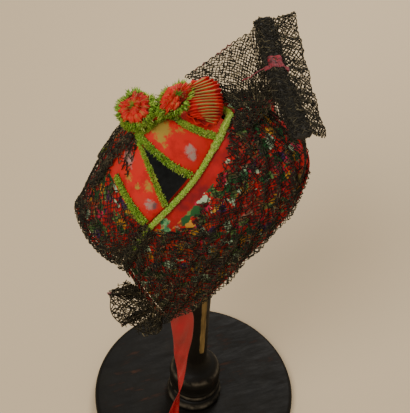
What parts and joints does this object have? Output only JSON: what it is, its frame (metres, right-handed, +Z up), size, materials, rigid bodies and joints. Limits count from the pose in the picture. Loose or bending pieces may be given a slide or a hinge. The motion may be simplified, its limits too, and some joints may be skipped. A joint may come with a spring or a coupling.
{
  "type": "biggin cap on a turned hat stand",
  "caption": "Traditional padded biggin cap of red print with black net lace, chenille, velvet, rosettes and a ribbon, on a turned black stand.",
  "frame": {"origin": "middle of the flat underside of the stand's disc", "axes": "+Z up the post of the stand, -Y the way the face opening looks, -X the wearer's right side"},
  "size_m": [0.2, 0.2058, 0.4594],
  "materials": {
    "floral_print": "matte printed cotton, red ground with small multicolour flowers",
    "red_print": "matte printed cotton, vermilion with olive and pale blots",
    "red_binding": "matte folded cotton binding",
    "green_chenille": "fuzzy tufted chenille yarn",
    "black_velvet": "deep black cotton velvet",
    "red_rosette": "ruched red cotton with green edging",
    "black_lace": "knotted black cotton net, a little rusty with age",
    "red_satin": "crimson satin, soft gloss",
    "black_wood": "black paint on turned wood, worn and scratched"
  },
  "bodies": {
    "root": {"back_panel": "red_print", "chenille_lower_far": "green_chenille", "chenille_lower_near": "green_chenille", "chenille_middle_far": "green_chenille", "chenille_middle_near": "green_chenille", "chenille_short_far": "green_chenille", "chenille_short_near": "green_chenille", "chenille_upper_far": "green_chenille", "chenille_upper_near": "green_chenille", "face_binding": "red_binding", "lace_ear_far": "black_lace", "lace_ear_near": "black_lace", "lace_fan": "black_lace", "lace_frill": "black_lace", "lace_neck": "black_lace", "lace_roll": "black_lace", "lace_side_far": "black_lace", "lace_side_near": "black_lace", "lace_wall": "black_lace", "neck_binding": "red_binding", "ribbon": "red_satin", "rosette_back": "red_rosette", "rosette_front": "red_rosette", "rosette_middle": "red_rosette", "seam_braid": "green_chenille", "side_band": "floral_print", "stand_base": "black_wood", "stand_head": "black_wood", "stand_post": "black_wood", "velvet_far": "black_velvet", "velvet_near": "black_velvet"}
  },
  "joints": []
}
